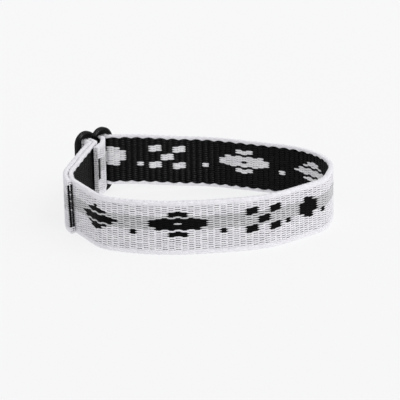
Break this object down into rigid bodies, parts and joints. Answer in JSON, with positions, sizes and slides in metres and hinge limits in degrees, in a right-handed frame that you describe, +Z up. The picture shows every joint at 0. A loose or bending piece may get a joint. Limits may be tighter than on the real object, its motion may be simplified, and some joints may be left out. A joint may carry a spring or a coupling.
{
  "type": "woven bracelet",
  "caption": "Flat woven strap bracelet standing on its edge as an open loop, closed by a two-slot moulded slider; one strap end lies on the outside, the other is folded round the slider's centre bar.",
  "frame": {"origin": "Under the middle of the whole bracelet's box, on the surface it stands on.", "axes": "+Z up along the strap's width. +X runs across the loop to the right of the folded end, which is at the left back. +Y runs away from the plain front."},
  "size_m": [0.0658, 0.0576, 0.0169],
  "materials": {
    "band": "woven polyester, white outer face with a grey stripe and black figures, black inner face",
    "slider": "moulded black plastic with a low sheen"
  },
  "bodies": {
    "root": {"band": "band", "slider": "slider"}
  },
  "joints": []
}
